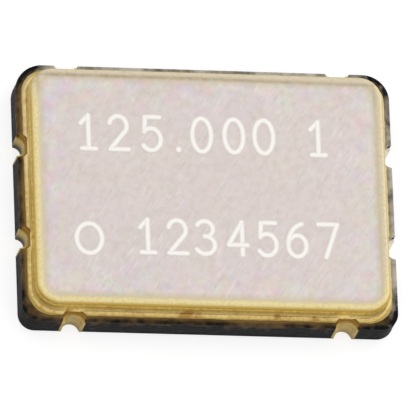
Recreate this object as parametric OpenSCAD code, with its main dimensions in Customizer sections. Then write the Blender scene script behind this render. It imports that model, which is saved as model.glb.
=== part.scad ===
// Surface-mount crystal oscillator: a ceramic package with a welded metal lid.
// The origin is at the centre of the soldering face, +Z points to the lid, and X runs along the long side.

/* [Body] */
// Length of the ceramic body
body_l = 7.0; // [6.8:0.1:7.5]
// Width of the ceramic body
body_w = 5.0; // [4.8:0.1:5.5]
// Radius of the body's upright corners
corner_r = 0.45; // [0.3:0.05:0.55]

/* [Ceramic layers] */
// Thickness of the floor layer
floor_layer_t = 0.14; // [0.12:0.01:0.3]
// Thickness of the layer that walls the chip's pocket
chip_layer_t = 0.16; // [0.14:0.01:0.2]
// Thickness of the layer that lifts the crystal over the wires
ledge_layer_t = 0.12; // [0.11:0.01:0.22]
// Thickness of the top layer round the crystal
rim_layer_t = 0.14; // [0.12:0.01:0.3]

/* [Cavity] */
// Width of the ceramic wall round the crystal
rim_wall = 0.65; // [0.6:0.01:0.7]
// Width of the ledge along each long side
side_ledge_w = 0.30; // [0.25:0.01:0.35]
// Width of the ledge that carries the crystal's fixed end
land_ledge_w = 1.10; // [1.0:0.01:1.15]
// Width of the ledge under the crystal's free end
end_ledge_w = 0.60; // [0.5:0.01:0.7]
// Corner radius of the cavities
cavity_r = 0.25; // [0.1:0.01:0.35]

/* [Edge notches] */
// Radius of the half-round notches in the edges
notch_r = 0.22; // [0.2:0.01:0.25]
// Depth of a notch from the body's edge
notch_depth = 0.20; // [0.17:0.01:0.22]
// Distance between the two notches of a short side
side_pitch = 1.80; // [1.5:0.1:2.2]

/* [Terminals] */
// Distance between the two terminals of a long side
terminal_pitch = 5.08; // [4.8:0.01:5.3]
// Length of a soldering pad along the long side
pad_l = 1.40; // [1.1:0.1:1.6]
// Width of a soldering pad
pad_w = 1.10; // [0.9:0.1:1.3]
// Thickness of a soldering pad
pad_t = 0.03; // [0.02:0.01:0.05]
// Distance of a pad from the body's edge
pad_setback = 0.04; // [0.02:0.01:0.08]
// Corner radius of a pad
pad_r = 0.08; // [0.04:0.01:0.15]
// Bevel on the corner of the first terminal's pad
index_bevel = 0.35; // [0.2:0.05:0.5]
// Thickness of the plating that lines a notch
lining_t = 0.05; // [0.02:0.005:0.06]
// Bare ceramic between a lining and the top face
lining_gap = 0.10; // [0.08:0.01:0.2]

/* [Buried tracks] */
// Width of a track
track_w = 0.16; // [0.12:0.01:0.18]
// Thickness of a track
track_t = 0.015; // [0.01:0.005:0.02]
// Clear space between two tracks in the wall
track_gap = 0.12; // [0.09:0.01:0.13]
// Distance between two bonding fingers on the shelf
finger_pitch = 0.60; // [0.5:0.01:0.65]
// Distance of a finger from the chip's pocket
finger_setback = 0.06; // [0.04:0.01:0.1]
// Radius of an upright link between layers
via_r = 0.05; // [0.04:0.01:0.07]

/* [Seal] */
// Bare ceramic round the plated sealing frame
seal_margin = 0.10; // [0.08:0.01:0.1]
// Thickness of the sealing frame
frame_t = 0.02; // [0.015:0.005:0.03]
// Corner radius of the frame's outer edge
frame_corner_r = 0.45; // [0.42:0.01:0.6]
// Distance of the frame from the cavity's edge
frame_setback = 0.02; // [0.01:0.01:0.04]
// Clear space between the frame and a notch
frame_keepout = 0.03; // [0.02:0.01:0.05]
// Distance of the ring's outer face from the body's edge
ring_inset = 0.18; // [0.18:0.01:0.22]
// Distance of the ring's inner face from the cavity's edge
ring_setback = 0.05; // [0.05:0.01:0.08]
// Height of the ring
ring_t = 0.28; // [0.2:0.01:0.35]
// Corner radius of the ring's outer face
ring_corner_r = 0.46; // [0.45:0.01:0.6]
// Radius on the ring's upper outer edge
ring_edge_r = 0.03; // [0.02:0.005:0.05]
// Thickness of the braze under the ring
braze_t = 0.02; // [0.015:0.005:0.03]
// Width and height of the braze fillet outside the ring
fillet_w = 0.06; // [0.05:0.01:0.07]
// Thickness of the fillet at its two ends
fillet_toe = 0.01; // [0.005:0.005:0.015]

/* [Lid] */
// Thickness of the lid at its rim
lid_t = 0.11; // [0.09:0.01:0.15]
// Distance of the lid's edge from the ring's outer face
lid_inset = 0.03; // [0.03:0.01:0.06]
// Radius that the welding rollers leave on the lid's edge
shoulder_r = 0.06; // [0.04:0.01:0.08]
// Width of the welded rim
weld_w = 0.20; // [0.15:0.01:0.25]
// Height of the welded rim's crest over the flat top
crest_h = 0.012; // [0.005:0.001:0.02]

/* [Chip] */
// Length of the chip
chip_l = 1.80; // [1.7:0.01:1.9]
// Width of the chip
chip_w = 1.20; // [1.1:0.01:1.3]
// Thickness of the chip
chip_t = 0.12; // [0.1:0.01:0.13]
// Clear space round the chip in its pocket
chip_gap = 0.25; // [0.2:0.01:0.27]
// Thickness of the adhesive under the chip
chip_glue_t = 0.02; // [0.01:0.005:0.03]
// How far the adhesive stands out from under the chip
chip_glue_out = 0.04; // [0.02:0.01:0.08]
// How far the plated chip pad stands out from under the adhesive
chip_pad_out = 0.06; // [0.02:0.01:0.08]
// Side of a contact square on the chip
contact_w = 0.08; // [0.08:0.01:0.1]
// Height of a contact square, drawn thicker than the real film
contact_t = 0.004; // [0.002:0.001:0.006]
// Distance between contacts on a long side of the chip
contact_pitch = 0.45; // [0.4:0.01:0.47]
// Distance from a contact's centre to the chip's edge
contact_inset = 0.10; // [0.08:0.01:0.15]
// Distance between the two crystal contacts
crystal_contact_pitch = 0.40; // [0.3:0.01:0.5]

/* [Bond wires] */
// Radius of a bond wire
wire_r = 0.0125; // [0.01:0.0005:0.015]
// Radius of the ball on the chip
ball_r = 0.035; // [0.03:0.001:0.038]
// Height of the ball on the chip
ball_h = 0.018; // [0.012:0.001:0.025]
// Height of the wire's arch over the ball
arch_h = 0.06; // [0.04:0.01:0.08]
// Length of the flattened end on the finger
stitch_l = 0.06; // [0.04:0.01:0.08]
// Width of the flattened end
stitch_w = 0.045; // [0.035:0.001:0.06]
// Thickness of the flattened end
stitch_t = 0.010; // [0.008:0.001:0.014]

/* [Crystal] */
// Width of the quartz blank
crystal_w = 2.2; // [2.1:0.01:2.6]
// Thickness of the quartz blank
crystal_t = 0.066; // [0.05:0.001:0.08]
// Clear space between the fixed end and the cavity's wall
crystal_end_gap = 0.30; // [0.25:0.01:0.35]
// Clear space between the free end and the cavity's wall
crystal_free_gap = 0.40; // [0.2:0.01:0.5]
// Clear space between the blank and its lands
crystal_lift = 0.03; // [0.02:0.005:0.04]
// Distance of each land's centre from the blank's long centre line
land_y = 0.78; // [0.75:0.01:0.8]
// Length of a land
land_l = 0.70; // [0.65:0.01:0.8]
// Width of a land
land_w = 0.56; // [0.5:0.01:0.6]
// Clear space between a land and the cavity's wall
land_gap = 0.03; // [0.02:0.01:0.05]
// Distance of a land's link from the land's inner end
via_inset = 0.15; // [0.1:0.01:0.25]
// Length of an electrode
electrode_l = 2.6; // [2.2:0.1:3.0]
// Width of an electrode
electrode_w = 1.6; // [1.5:0.1:2.0]
// Thickness of an electrode, drawn thicker than the real film
electrode_t = 0.004; // [0.002:0.001:0.006]
// Width of the strip from an electrode to its land
strip_w = 0.30; // [0.2:0.01:0.4]
// Radius of an adhesive drop on its land
drop_r = 0.24; // [0.22:0.01:0.26]
// Height of an adhesive drop
drop_h = 0.13; // [0.13:0.001:0.14]
// Distance of a drop's centre inside the blank's end
drop_in = 0.02; // [0:0.01:0.04]

/* [Hidden] */
// The quarters of the body, in the order of the terminals, seen from the lid
QUARTERS = [[-1, -1], [1, -1], [1, 1], [-1, 1]];
SIDES = [1, -1];
PINS = ["enable", "ground", "output", "supply"];
GROUND = 1;
LINKS = ["a", "b"];
$fn = 48;
// How far a cutting shape runs past the face that it cuts
over = 0.1;

CERAMIC = "#35302f";
GOLD = "#cba64c";
SILVER_GREY = "#d6cecb";
SILICON = "#5d6470";
GLUE = "#8f8b84";
QUARTZ = "#dfe6ea";
FILM = "#e4d9b8";

// Heights of the faces, from the soldering face up
z_body = pad_t;
z_chip_floor = z_body + floor_layer_t;
z_shelf = z_chip_floor + chip_layer_t;
z_ledge = z_shelf + ledge_layer_t;
z_rim = z_ledge + rim_layer_t;
z_frame = z_rim + frame_t;
z_ring = z_frame + braze_t;
z_lid = z_ring + ring_t;
z_glue = z_chip_floor + track_t;
z_chip = z_glue + chip_glue_t;
z_contact = z_chip + chip_t;
z_wire = z_contact + contact_t;
z_finger = z_shelf + track_t;
z_land = z_ledge + track_t;
z_blank = z_land + crystal_lift;

// Plan sizes of the three openings, one in each upper layer, and of the ring that stands round them
rim_l = body_l - 2*rim_wall;
rim_w = body_w - 2*rim_wall;
shelf_x0 = -rim_l/2 + land_ledge_w;
shelf_x1 = rim_l/2 - end_ledge_w;
shelf_l = shelf_x1 - shelf_x0;
shelf_w = rim_w - 2*side_ledge_w;
pocket_l = chip_l + 2*chip_gap;
pocket_w = chip_w + 2*chip_gap;
chip_x = (shelf_x0 + shelf_x1)/2;
ring_width = rim_wall - ring_inset - ring_setback;

// Places of the tracks in the wall: each lane keeps its gap from the one inside it
notch_out = notch_r - notch_depth;
side_lane_y = shelf_w/2 + track_gap + track_w/2;
pin_lane_y = side_lane_y + track_w + track_gap;
end_lane_x = body_l/2 - notch_depth - track_gap - track_w/2;
finger_y = pocket_w/2 + finger_setback + track_w/2;
finger_x = pocket_l/2 + finger_setback + track_w/2;
stitch_y = (finger_y + shelf_w/2)/2;

// Places of the crystal and of what holds it
crystal_l = rim_l - crystal_end_gap - crystal_free_gap;
blank_x0 = -rim_l/2 + crystal_end_gap;
blank_x = blank_x0 + crystal_l/2;
land_x = -rim_l/2 + land_gap + land_l/2;
via_x = land_x + land_l/2 - via_inset;
knee_x = shelf_x0 + track_w;
drop_x = blank_x0 + drop_in;

// Centre of the long-side notch of a quarter
function pin_notch(q) = [q.x*terminal_pitch/2, q.y*(body_w/2 + notch_out)];
// Centre of the short-side notch of a quarter
function side_notch(q) = [q.x*(body_l/2 + notch_out), q.y*side_pitch/2];

// A finger's X in the quarter's own mirrored frame: n is 0.5 for the inner and 1.5 for the outer finger
function own_x(q, n) = q.x*chip_x + n*finger_pitch;

// Centre line of the track from the inner finger to the long-side notch, in the quarter's own frame
function pin_track(q) = [
    [own_x(q, 0.5), finger_y],
    [own_x(q, 0.5), pin_lane_y],
    [terminal_pitch/2, pin_lane_y],
    [terminal_pitch/2, body_w/2 - notch_depth]
];

// Centre line of the track from the outer finger to the short-side notch, in the quarter's own frame
function side_track(q) = [
    [own_x(q, 1.5), finger_y],
    [own_x(q, 1.5), side_lane_y],
    [end_lane_x, side_lane_y],
    [end_lane_x, side_pitch/2],
    [body_l/2 - notch_depth, side_pitch/2]
];

// Centre line of the track from a crystal land's link to its finger
function land_track(s) = [
    [via_x, s*land_y],
    [knee_x, s*land_y],
    [chip_x - finger_x, s*(crystal_contact_pitch/2 + track_w/2 + track_gap)]
];

// Centre line of the track that joins the chip's pad to the ground notch, under the chip layer
chip_pad_track = [
    [chip_x, chip_w/4],
    [terminal_pitch/2, chip_w/4],
    [terminal_pitch/2, body_w/2 - notch_depth]
];

// Rectangle with round corners, on its centre
module rounded_rect(l, w, r) {
    square([l - 2*r, w], center = true);
    square([l, w - 2*r], center = true);
    for (q = QUARTERS) translate([q.x*(l/2 - r), q.y*(w/2 - r)]) circle(r);
}

// Flat track of constant width along a line of points
module track_2d(points, width) {
    for (i = [0:len(points) - 2]) {
        run = points[i + 1] - points[i];
        translate(points[i])
            rotate(atan2(run.y, run.x))
                translate([0, -width/2]) square([norm(run), width]);
    }
    for (p = points) translate(p) circle(width/2);
}

// Puts a shape drawn for the +X +Y quarter into quarter q
module in_quarter(q) {
    mirror([q.x < 0 ? 1 : 0, 0, 0]) mirror([0, q.y < 0 ? 1 : 0, 0]) children();
}

// Sweeps a flat profile once round a rectangle l by w with corner radius r.
// The profile's x = 0 runs along the outline, its +x points outwards and its +y points up.
module swept_frame(l, w, r) {
    for (turn = [0:3]) {
        run = turn % 2 == 0 ? w : l;
        reach = turn % 2 == 0 ? l : w;
        rotate(90*turn) {
            translate([reach/2, run/2 - r, 0])
                rotate([90, 0, 0]) linear_extrude(run - 2*r) children();
            translate([reach/2 - r, run/2 - r, 0])
                rotate_extrude(angle = 90) translate([r, 0]) children();
        }
    }
}

// Outline of the body before its notches are cut
module body_outline() rounded_rect(body_l, body_w, corner_r);

// The eight notches as circles of radius r
module notch_circles(r) {
    for (q = QUARTERS) {
        translate(pin_notch(q)) circle(r);
        translate(side_notch(q)) circle(r);
    }
}

// Tracks at the shelf's level in one quarter
module shelf_tracks(q) {
    in_quarter(q) translate([0, 0, z_shelf]) linear_extrude(track_t) {
        track_2d(pin_track(q), track_w);
        track_2d(side_track(q), track_w);
    }
}

// Track from the chip's pad to the ground notch
module ground_track() {
    in_quarter(QUARTERS[GROUND])
        translate([0, 0, z_chip_floor]) linear_extrude(track_t) track_2d(chip_pad_track, track_w);
}

// Link and track under one crystal land
module land_link(s) {
    translate([0, 0, z_shelf]) linear_extrude(track_t) track_2d(land_track(s), track_w);
    translate([via_x, s*land_y, z_shelf]) cylinder(r = via_r, h = z_land - z_shelf);
}

// Link that joins the sealing frame to the ground track
module seal_link() {
    q = QUARTERS[GROUND];
    translate([q.x*(terminal_pitch/2 - track_w), q.y*pin_lane_y, z_finger])
        cylinder(r = via_r, h = z_frame - z_finger);
}

// Opening of the given outline, centred on x, from height z up through the rim
module opening_from(z, x) {
    translate([x, 0, z]) linear_extrude(z_rim - z + over) children();
}

// Co-fired ceramic body: four layers, the upper three with an opening each, and eight edge notches
module ceramic_base() {
    color(CERAMIC) difference() {
        translate([0, 0, z_body]) linear_extrude(z_rim - z_body) difference() {
            body_outline();
            notch_circles(notch_r);
        }
        opening_from(z_chip_floor, chip_x) rounded_rect(pocket_l, pocket_w, cavity_r);
        opening_from(z_shelf, chip_x) rounded_rect(shelf_l, shelf_w, cavity_r);
        opening_from(z_ledge, 0) rounded_rect(rim_l, rim_w, cavity_r);
        for (q = QUARTERS) shelf_tracks(q);
        for (s = SIDES) land_link(s);
        ground_track();
        seal_link();
    }
}

// Plating on the wall of one notch, flush with the body's side
module notch_lining(place) {
    translate([0, 0, z_body])
        linear_extrude(z_rim - lining_gap - z_body) intersection() {
            body_outline();
            difference() {
                translate(place) circle(notch_r);
                translate(place) circle(notch_r - lining_t);
            }
        }
}

// Soldering pad of a quarter
module pad_2d(q) {
    intersection() {
        rounded_rect(body_l - 2*pad_setback, body_w - 2*pad_setback, corner_r - pad_setback);
        in_quarter(q) translate([terminal_pitch/2, body_w/2 - pad_w/2]) rounded_rect(pad_l, pad_w, pad_r);
    }
}

// Triangle that bevels the inner corner of a quarter's pad
module pad_bevel(q) {
    in_quarter(q) translate([terminal_pitch/2 - pad_l/2, body_w/2 - pad_w])
        rotate(45) square(index_bevel*sqrt(2), center = true);
}

// Conductor with the open space inside its lined notch cut free
module open_notch(place) {
    difference() {
        union() children();
        translate([place.x, place.y, -over]) cylinder(r = notch_r - lining_t, h = z_rim + over);
    }
}

// Plated pad under the chip, larger than its adhesive
module chip_pad() {
    translate([chip_x, 0, z_chip_floor]) linear_extrude(track_t) chip_rect(chip_glue_out + chip_pad_out);
}

// One terminal: pad, notch lining, buried track and bonding finger in one plated conductor.
// The first one's pad is bevelled, and the ground one carries the chip.
module terminal(i) {
    q = QUARTERS[i];
    color(GOLD) open_notch(pin_notch(q)) {
        linear_extrude(pad_t) difference() {
            pad_2d(q);
            if (i == 0) pad_bevel(q);
        }
        notch_lining(pin_notch(q));
        in_quarter(q) translate([0, 0, z_shelf])
            linear_extrude(track_t) track_2d(pin_track(q), track_w);
        if (i == GROUND) ground_track();
        if (i == GROUND) chip_pad();
    }
}

// One test terminal in a short side: notch lining, buried track and bonding finger
module side_terminal(i) {
    q = QUARTERS[i];
    color(GOLD) open_notch(side_notch(q)) {
        notch_lining(side_notch(q));
        in_quarter(q) translate([0, 0, z_shelf])
            linear_extrude(track_t) track_2d(side_track(q), track_w);
    }
}

// Land for one corner of the crystal, with its link down to a bonding finger
module crystal_land(s) {
    color(GOLD) union() {
        translate([land_x, s*land_y, z_ledge]) linear_extrude(track_t) rounded_rect(land_l, land_w, pad_r);
        land_link(s);
    }
}

// Plated frame on the rim, cut back round the notches
module seal_frame() {
    frame_in = rim_wall - frame_setback;
    color(GOLD) union() {
        translate([0, 0, z_rim]) linear_extrude(frame_t) difference() {
            rounded_rect(body_l - 2*seal_margin, body_w - 2*seal_margin, frame_corner_r);
            rounded_rect(body_l - 2*frame_in, body_w - 2*frame_in, cavity_r + frame_setback);
            notch_circles(notch_r + frame_keepout);
        }
        seal_link();
    }
}

// Concave fillet with blunt ends, in the corner between the x and y axes
module fillet_2d() {
    centre = fillet_w + fillet_toe;
    difference() {
        square(fillet_w);
        translate([centre, centre])
            circle(norm([centre - fillet_w, centre - fillet_toe]));
    }
}

// Silver-copper braze: a thin layer under the ring and a fillet round its foot
module ring_braze() {
    color(GOLD) difference() {
        translate([0, 0, z_frame])
            swept_frame(body_l - 2*ring_inset, body_w - 2*ring_inset, ring_corner_r) {
                translate([-ring_width, 0]) square([ring_width, braze_t]);
                fillet_2d();
            }
        for (q = QUARTERS) {
            translate(pin_notch(q)) cylinder(r = notch_r + frame_keepout, h = z_lid);
            translate(side_notch(q)) cylinder(r = notch_r + frame_keepout, h = z_lid);
        }
    }
}

// Section of the ring, with its upper outer edge rounded
module ring_section() {
    translate([-ring_width, 0]) square([ring_width - ring_edge_r, ring_t]);
    translate([-ring_width, 0]) square([ring_width, ring_t - ring_edge_r]);
    translate([-ring_edge_r, ring_t - ring_edge_r]) circle(ring_edge_r);
}

// Iron-nickel-cobalt ring, brazed to the frame, which the lid is welded to
module seal_ring() {
    color(GOLD) translate([0, 0, z_ring])
        swept_frame(body_l - 2*ring_inset, body_w - 2*ring_inset, ring_corner_r) ring_section();
}

// Section of the lid's welded rim: a rounded shoulder, a crest and a slope down to the flat top
module rim_section() {
    polygon([
        [-weld_w, 0],
        [0, 0],
        [0, lid_t - shoulder_r],
        [-shoulder_r, lid_t],
        [-weld_w, lid_t - crest_h]
    ]);
    intersection() {
        translate([-shoulder_r, lid_t - shoulder_r]) circle(shoulder_r);
        translate([-shoulder_r, lid_t - shoulder_r]) square(shoulder_r);
    }
}

// Sheet-metal lid, seam-welded to the ring
module lid() {
    lid_l = body_l - 2*(ring_inset + lid_inset);
    lid_w = body_w - 2*(ring_inset + lid_inset);
    r = ring_corner_r - lid_inset;
    color(SILVER_GREY) translate([0, 0, z_lid]) union() {
        linear_extrude(lid_t - crest_h) rounded_rect(lid_l - weld_w, lid_w - weld_w, r - weld_w/2);
        swept_frame(lid_l, lid_w, r) rim_section();
    }
}

// Outline of the chip, grown by out on each side
module chip_rect(out) square([chip_l + 2*out, chip_w + 2*out], center = true);

// Adhesive that fixes the chip to its pad
module chip_adhesive() {
    color(GLUE) translate([chip_x, 0, z_glue]) linear_extrude(chip_glue_t) chip_rect(chip_glue_out);
}

// Place of a contact on a long side of the chip: n is 0.5 for the inner and 1.5 for the outer
function contact(q, n) = [chip_x + q.x*n*contact_pitch, q.y*(chip_w/2 - contact_inset)];
// Place of a crystal contact on the chip's end
function crystal_contact(s) = [chip_x - chip_l/2 + contact_inset, s*crystal_contact_pitch/2];

// Silicon chip with its ten contact squares
module oscillator_chip() {
    places = concat(
        [for (q = QUARTERS, n = [0.5, 1.5]) contact(q, n)],
        [for (s = SIDES) crystal_contact(s)]
    );
    color(SILICON) union() {
        translate([chip_x, 0, z_chip]) linear_extrude(chip_t) chip_rect(0);
        for (p = places) translate([p.x, p.y, z_contact])
            linear_extrude(contact_t) square(contact_w, center = true);
    }
}

// Point at share t of a cubic curve with the control points a, b, c and d
function cubic(a, b, c, d, t) =
    pow(1 - t, 3)*a + 3*pow(1 - t, 2)*t*b + 3*(1 - t)*t*t*c + t*t*t*d;

// Ring of points round a centre: across is level, lift is square to across and to the wire.
// Its corners lie beside the two directions, so that it rests on a flat side.
function wire_ring(centre, across, lift, half_w, half_t, sides) = [
    for (k = [0:sides - 1])
        let (turn = 360*(k + 0.5)/sides)
        centre + cos(turn)*half_w*across + sin(turn)*half_t*lift
];

// Gold wire from a ball on the chip at start to a flattened stitch on a finger at end
module bond_wire(start, end) {
    sides = 8;
    steps = 12;
    level = (end - start)/norm(end - start);
    flat = [level.x, level.y, 0];
    across = [-level.y, level.x, 0];
    foot = [start.x, start.y, z_wire];
    neck = foot + [0, 0, ball_h];
    toe = [end.x, end.y, z_finger + stitch_t/2];
    // A cubic between two level ends rises to 4/9 of the height of this control point
    high = neck + [0, 0, arch_h*9/4];
    out = toe - flat*norm(end - start)/3;
    path = [for (i = [0:steps]) cubic(neck, high, out, toe, i/steps)];
    run = [for (i = [0:steps])
        i == 0 ? [0, 0, 1] :
        i == steps ? flat :
        (path[i + 1] - path[i - 1])/norm(path[i + 1] - path[i - 1])];
    // Past its highest point the wire is pressed flat where it would reach below the finger's face
    half_t = [for (i = [0:steps])
        i < steps/2 ? wire_r : min(wire_r, (path[i].z - z_finger)/cos(180/sides))];
    half_w = [for (i = [0:steps]) max(wire_r, stitch_w/2 - (steps - i)*wire_r)];
    barrel = [for (turn = [-45, 0, 45])
        wire_ring(foot + [0, 0, ball_h*(1 + tan(turn))/2], across, -flat,
                  ball_r*cos(turn), ball_r*cos(turn), sides)];
    wire = [for (i = [0:steps])
        wire_ring(path[i], across, cross(run[i], across), half_w[i], half_t[i], sides)];
    stitch = wire_ring(toe + flat*stitch_l, across, [0, 0, 1], half_w[steps], half_t[steps], sides);
    swept_rings(concat(barrel, wire, [stitch]), GOLD);
}

// Closed skin over a row of rings with the same number of points
module swept_rings(rings, tint) {
    sides = len(rings[0]);
    last = len(rings) - 1;
    points = [for (ring = rings) each ring];
    walls = [for (j = [0:last - 1], k = [0:sides - 1])
        let (a = j*sides + k, b = j*sides + (k + 1) % sides)
        each [[a, a + sides, b + sides], [a, b + sides, b]]];
    caps = [
        [for (k = [0:sides - 1]) k],
        [for (k = [sides - 1:-1:0]) last*sides + k]
    ];
    color(tint) polyhedron(points = points, faces = concat(walls, caps));
}

// Quartz blank, cut as a thin strip
module crystal_blank() {
    color(QUARTZ) translate([blank_x0, -crystal_w/2, z_blank]) cube([crystal_l, crystal_w, crystal_t]);
}

// Metal film with a strip to the land on side s, kept inside the blank
module electrode_2d(s) {
    intersection() {
        translate([blank_x, 0]) square([crystal_l, crystal_w], center = true);
        union() {
            translate([blank_x, 0]) rounded_rect(electrode_l, electrode_w, cavity_r);
            translate([blank_x0, s*land_y - strip_w/2]) square([crystal_l/2, strip_w]);
        }
    }
}

module electrode_top() {
    color(FILM) translate([0, 0, z_blank + crystal_t]) linear_extrude(electrode_t) electrode_2d(1);
}

module electrode_bottom() {
    color(FILM) translate([0, 0, z_blank - electrode_t]) linear_extrude(electrode_t) electrode_2d(-1);
}

// Drop of conductive adhesive that wraps the blank's end on one land
module crystal_adhesive(s) {
    ball = (drop_r*drop_r + drop_h*drop_h)/(2*drop_h);
    color(GLUE) difference() {
        translate([drop_x, s*land_y, z_land]) intersection() {
            translate([0, 0, drop_h - ball]) sphere(ball);
            cylinder(r = 2*drop_r, h = 2*drop_h);
        }
        crystal_blank();
        electrode_top();
        electrode_bottom();
    }
}

ceramic_base();
seal_frame();
ring_braze();
seal_ring();
lid();
for (i = [0:3]) {
    q = QUARTERS[i];
    terminal(i);
    side_terminal(i);
    bond_wire(contact(q, 0.5), [chip_x + q.x*0.5*finger_pitch, q.y*stitch_y]);
    bond_wire(contact(q, 1.5), [chip_x + q.x*1.5*finger_pitch, q.y*stitch_y]);
}
for (i = [0:1]) {
    s = SIDES[i];
    crystal_land(s);
    crystal_adhesive(s);
    bond_wire(crystal_contact(s), land_track(s)[2]);
}
chip_adhesive();
oscillator_chip();
crystal_blank();
electrode_top();
electrode_bottom();
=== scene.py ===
"""Looks of a 7 x 5 mm surface-mount crystal oscillator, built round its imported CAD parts. Sizes are in mm."""

import math

import bpy
import numpy as np
from mathutils import Matrix, Vector


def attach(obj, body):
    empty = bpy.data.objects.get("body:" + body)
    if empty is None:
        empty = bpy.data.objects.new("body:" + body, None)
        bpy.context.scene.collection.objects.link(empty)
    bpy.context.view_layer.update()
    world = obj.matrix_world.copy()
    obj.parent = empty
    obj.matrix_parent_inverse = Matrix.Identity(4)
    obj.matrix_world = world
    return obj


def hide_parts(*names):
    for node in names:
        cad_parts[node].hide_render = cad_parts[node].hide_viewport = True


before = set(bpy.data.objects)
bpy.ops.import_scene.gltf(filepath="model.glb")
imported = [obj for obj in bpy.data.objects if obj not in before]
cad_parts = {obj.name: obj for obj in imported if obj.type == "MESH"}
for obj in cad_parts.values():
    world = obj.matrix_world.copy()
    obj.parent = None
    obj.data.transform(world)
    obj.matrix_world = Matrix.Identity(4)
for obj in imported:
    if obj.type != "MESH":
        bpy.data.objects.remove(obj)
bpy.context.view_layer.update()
MM = 0.001


# Ceramic package
# Four sheets of black alumina, punched, printed, pressed together and fired as one piece. The outer sides are
# snapped along scored lines, which leaves them finely rough, and half-round notches stand at every terminal.
BODY_L, BODY_W, BODY_R = 7.0, 5.0, 0.45
NOTCH_X, NOTCH_Y = 2.54, 0.90
NOTCH_R, NOTCH_OUT = 0.22, 0.02
# Heights of the sheets' faces, from the underside up
LAYERS = (0.03, 0.17, 0.33, 0.45, 0.59)
# Length, width and middle along the body of the openings in the upper three sheets, from the top down
CHIP_X = 0.25
OPENINGS = ((5.70, 3.70, 0.0), (4.00, 3.10, CHIP_X), (2.30, 1.70, CHIP_X))
OPENING_R = 0.25
# The corners aren't alike: each row holds the front and the back corner of a side, first of the left one
CORNER_R = np.array([[0.30, 0.51], [0.33, 0.49]])
EDGE_R = 0.014
SEAM_DEPTH, SEAM_W = 0.004, 0.008
# Depth, size and seed of the snapped sides' two grains. The sides stand back by most of their depth
GRAINS = ((0.0035, 0.06, 3), (0.003, 0.17, 4))
STAND_BACK, NOTCH_BACK = 0.0055, 0.001
# Spacing of the outlines' points
SPACING = 0.03


def outline_steps(length, width, radius, reach):
    """Places of the points along the long and the short side, from -1 to 1: even steps outside the two notches,
    and across each notch the sine of even angles times its reach, so that its steep flanks get points too."""
    sides = []
    for half, notch in ((length/2 - radius, NOTCH_X), (width/2 - radius, NOTCH_Y)):
        outer = np.linspace(notch + reach, half, max(3, int((half - notch - reach)/SPACING)))[1:]
        inner = np.linspace(0, notch - reach, max(3, int((notch - reach)/SPACING)))[:-1]
        across = notch + reach*np.sin(np.radians(np.linspace(-90, 90, 33)))
        positive = np.concatenate([inner, across, outer])
        sides.append(np.concatenate([-positive[:0:-1], positive])/half)
    return sides


BODY_STEPS = outline_steps(BODY_L, BODY_W, BODY_R, math.sqrt(NOTCH_R**2 - NOTCH_OUT**2))


def rounded_outline(length, width, radius, inset=0.0, centre=0.0, notch_r=0.0, steps=None):
    """Outline of a rectangle with round corners, counter-clockwise from the front left: points and normals.
    Inside a notch circle a point moves inwards to the circle: its depth is the root of radius squared less the
    distance along the side squared, less how far the circle's centre lies outside the side."""
    half = np.array([length/2 - radius, width/2 - radius])
    long, short = steps or BODY_STEPS
    turn = np.radians(np.linspace(0, 90, 20)[1:-1])
    along = [long*half[0], short*half[1]]
    points, normals = [], []
    for k in range(4):
        out = np.array([math.sin(k*math.pi/2), -math.cos(k*math.pi/2)])
        run = np.array([-out[1], out[0]])
        reach = half[1] + radius if k % 2 == 0 else half[0] + radius
        t = along[k % 2]
        depth = np.zeros(len(t))
        if notch_r:
            near = np.abs(np.abs(t) - (NOTCH_X if k % 2 == 0 else NOTCH_Y))
            depth = np.sqrt(np.maximum(notch_r**2 - near**2, 0)) - NOTCH_OUT - inset
            depth = np.where(near < notch_r, np.maximum(depth, 0), 0)
        points.append(run*t[:, None] + out*(reach - depth)[:, None])
        normals.append(np.repeat(out[None], len(t), 0))
        corner = run*half[k % 2] + out*half[1 - k % 2]
        ray = run*np.sin(turn)[:, None] + out*np.cos(turn)[:, None]
        points.append(corner + radius*ray)
        normals.append(ray)
    points = np.concatenate(points)
    points[:, 0] += centre
    return points, np.concatenate(normals)


def level(points, z):
    """The flat points at height z."""
    return np.column_stack([points, np.full(len(points), z)])


def shell(name, loops, around=False):
    """Closed skin through a stack of level loops with equally many points: four-sided faces join each loop to
    the next. A solid piece gets one face at each end, and a frame, which is open in the middle, has its last
    loop joined to its first. Loops run counter-clockwise, and the stack goes up on the outside. The skin is
    smooth, apart from edges that turn by more than 40 degrees."""
    loops = np.asarray(loops)
    rows, count = loops.shape[:2]
    at = np.arange(rows*count).reshape(rows, count)
    lower, upper = (at, np.roll(at, -1, 0)) if around else (at[:-1], at[1:])
    quads = np.stack([lower, np.roll(lower, -1, 1), np.roll(upper, -1, 1), upper], -1)
    faces = quads.reshape(-1, 4).tolist()
    if not around:
        faces += [at[0, ::-1].tolist(), at[-1].tolist()]
    mesh = bpy.data.meshes.new(name)
    mesh.from_pydata(loops.reshape(-1, 3)*MM, [], faces)
    mesh.polygons.foreach_set("use_smooth", np.ones(len(mesh.polygons), bool))
    mesh.set_sharp_from_angle(angle=math.radians(40))
    piece = bpy.data.objects.new(name, mesh)
    bpy.context.collection.objects.link(piece)
    return piece


def rough(points, size, seed):
    """Smooth random height between -1 and 1: random values at the corners of cells of the given size, blended
    by three t squared less two t cubed along each axis. Large primes scatter the cells over the table."""
    table = np.random.default_rng(seed).uniform(-1, 1, 4096)
    low = np.floor(points/size)
    share = points/size - low
    share = share*share*(3 - 2*share)
    total = np.zeros(len(points))
    for corner in np.ndindex(2, 2, 2):
        at = (low + corner).astype(np.int64) @ np.array([73856093, 19349663, 83492791])
        total += table[at % 4096]*np.prod(np.where(corner, share, 1 - share), axis=1)
    return total


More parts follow.
